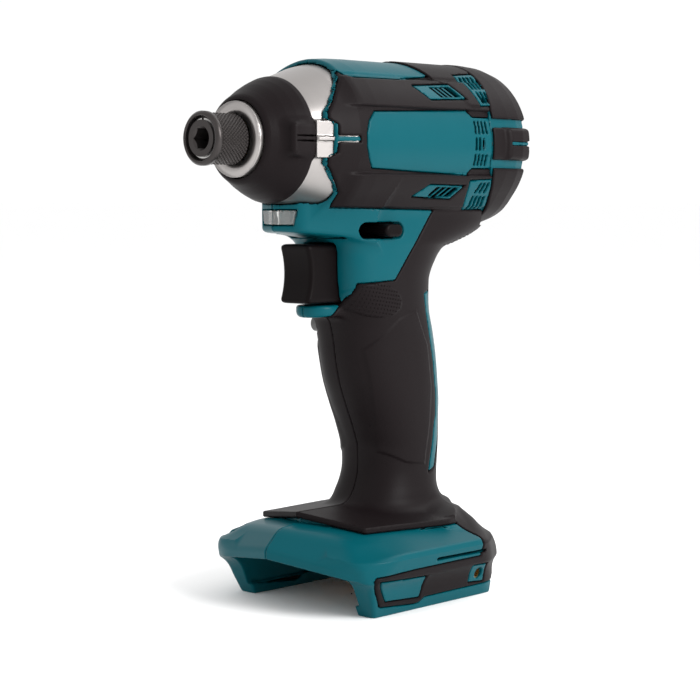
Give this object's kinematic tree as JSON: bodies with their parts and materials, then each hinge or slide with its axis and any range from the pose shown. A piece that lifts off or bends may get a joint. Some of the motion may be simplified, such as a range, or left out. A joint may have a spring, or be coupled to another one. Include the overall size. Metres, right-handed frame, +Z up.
{
  "type": "cordless impact driver",
  "caption": "Pistol-grip cordless impact driver with a hex bit sleeve, a sprung hammer mechanism, a trigger, a reversing lever and an open foot for a slide-on battery.",
  "frame": {"origin": "middle of the box around the tool, on the surface its foot stands on", "axes": "+X along the drive axis towards the bit, +Y to the tool's left, +Z up"},
  "size_m": [0.137, 0.076, 0.183],
  "materials": {
    "housing": "satin",
    "overmould": "matt",
    "case_alloy": "satin",
    "lens": "clear",
    "board": "matt",
    "black_plastic": "matt",
    "terminal_plastic": "matt",
    "brass": "machined",
    "copper": "bare",
    "lead": "satin",
    "dark_steel": "black oxide",
    "magnet": "matt",
    "steel": "ground",
    "nylon": "matt"
  },
  "bodies": {
    "housing": {"housing_left": "housing", "housing_right": "housing", "overmould_left": "overmould", "overmould_right": "overmould", "rear_cover": "housing", "rear_bumper": "overmould", "hammer_case": "case_alloy", "case_bumper": "overmould", "led_lens": "lens", "led_board": "board", "trigger_spring": "steel", "switch_body": "black_plastic", "terminal_block": "terminal_plastic", "terminal_blades": "brass", "hook_nuts": "brass", "lead_wires": "lead", "housing_screws": "steel", "cover_screws": "steel", "motor_can": "dark_steel", "magnets": "magnet", "brush_plate": "black_plastic", "carbon_brushes": "magnet", "brush_springs": "steel", "rear_bearing": "steel", "front_bearing": "steel", "spindle_bearing": "steel", "gear_plate": "case_alloy", "ring_gear": "steel", "anvil_bush": "brass", "anvil_washer": "nylon"},
    "spindle": {"spindle": "steel", "planet_pins": "steel", "cam_balls": "steel", "hammer_spring": "dark_steel"},
    "rotor": {"armature_shaft": "steel", "armature_core": "steel", "armature_windings": "copper", "commutator": "copper", "cooling_fan": "black_plastic", "pinion": "steel"},
    "planet_1": {"planet_gear_1": "steel"},
    "planet_2": {"planet_gear_2": "steel"},
    "planet_3": {"planet_gear_3": "steel"},
    "spring_seat": {"spring_seat": "steel", "thrust_balls": "steel"},
    "hammer": {"hammer": "steel"},
    "anvil": {"anvil": "dark_steel", "detent_balls": "steel", "sleeve_spring": "steel", "sleeve_washer": "dark_steel", "snap_ring": "steel"},
    "sleeve": {"bit_sleeve": "dark_steel"},
    "trigger": {"trigger": "black_plastic"},
    "reversing_lever": {"reversing_lever": "black_plastic"}
  },
  "joints": [
    {"name": "spindle_spin", "type": "hinge", "parent": "housing", "child": "spindle", "pos_m": [0, 0, 0.155], "axis": [1, 0, 0], "continuous": true},
    {"name": "rotor_spin", "type": "hinge", "parent": "housing", "child": "rotor", "pos_m": [-0.03, 0, 0.155], "axis": [1, 0, 0], "continuous": true},
    {"name": "anvil_spin", "type": "hinge", "parent": "housing", "child": "anvil", "pos_m": [0.05, 0, 0.155], "axis": [1, 0, 0], "continuous": true},
    {"name": "hammer_retreat", "type": "slide", "parent": "spindle", "child": "spring_seat", "axis": [-1, 0, 0], "range_m": [0, 0.0065], "stiffness_N_per_m": 12000, "deforming": ["hammer_spring"]},
    {"name": "hammer_turn", "type": "hinge", "parent": "spring_seat", "child": "hammer", "pos_m": [0.025, 0, 0.155], "axis": [1, 0, 0], "range_deg": [-40.5, 0.5]},
    {"name": "sleeve_slide", "type": "slide", "parent": "anvil", "child": "sleeve", "axis": [1, 0, 0], "range_m": [0, 0.0032], "stiffness_N_per_m": 2500, "deforming": ["sleeve_spring"]},
    {"name": "trigger_pull", "type": "slide", "parent": "housing", "child": "trigger", "axis": [-1, 0, 0], "range_m": [0, 0.0065], "stiffness_N_per_m": 800, "deforming": ["trigger_spring"]},
    {"name": "lever_turn", "type": "hinge", "parent": "housing", "child": "reversing_lever", "pos_m": [0.014, 0, 0.1256], "axis": [0, 0, 1], "range_deg": [-6, 6]},
    {"name": "planet_1_spin", "type": "hinge", "parent": "spindle", "child": "planet_1", "pos_m": [0.004, 0.01125, 0.155], "axis": [1, 0, 0], "continuous": true},
    {"name": "planet_2_spin", "type": "hinge", "parent": "spindle", "child": "planet_2", "pos_m": [0.004, -0.00562, 0.16474], "axis": [1, 0, 0], "continuous": true},
    {"name": "planet_3_spin", "type": "hinge", "parent": "spindle", "child": "planet_3", "pos_m": [0.004, -0.00562, 0.14526], "axis": [1, 0, 0], "continuous": true}
  ],
  "couplings": [
    {"joint": "rotor_spin", "follows": "spindle_spin", "ratio": 5},
    {"joint": "anvil_spin", "follows": "spindle_spin", "ratio": 1},
    {"joint": "hammer_turn", "follows": "hammer_retreat", "rad_per_m": -107.4},
    {"joint": "planet_1_spin", "follows": "spindle_spin", "ratio": -2.6667},
    {"joint": "planet_2_spin", "follows": "spindle_spin", "ratio": -2.6667},
    {"joint": "planet_3_spin", "follows": "spindle_spin", "ratio": -2.6667}
  ]
}
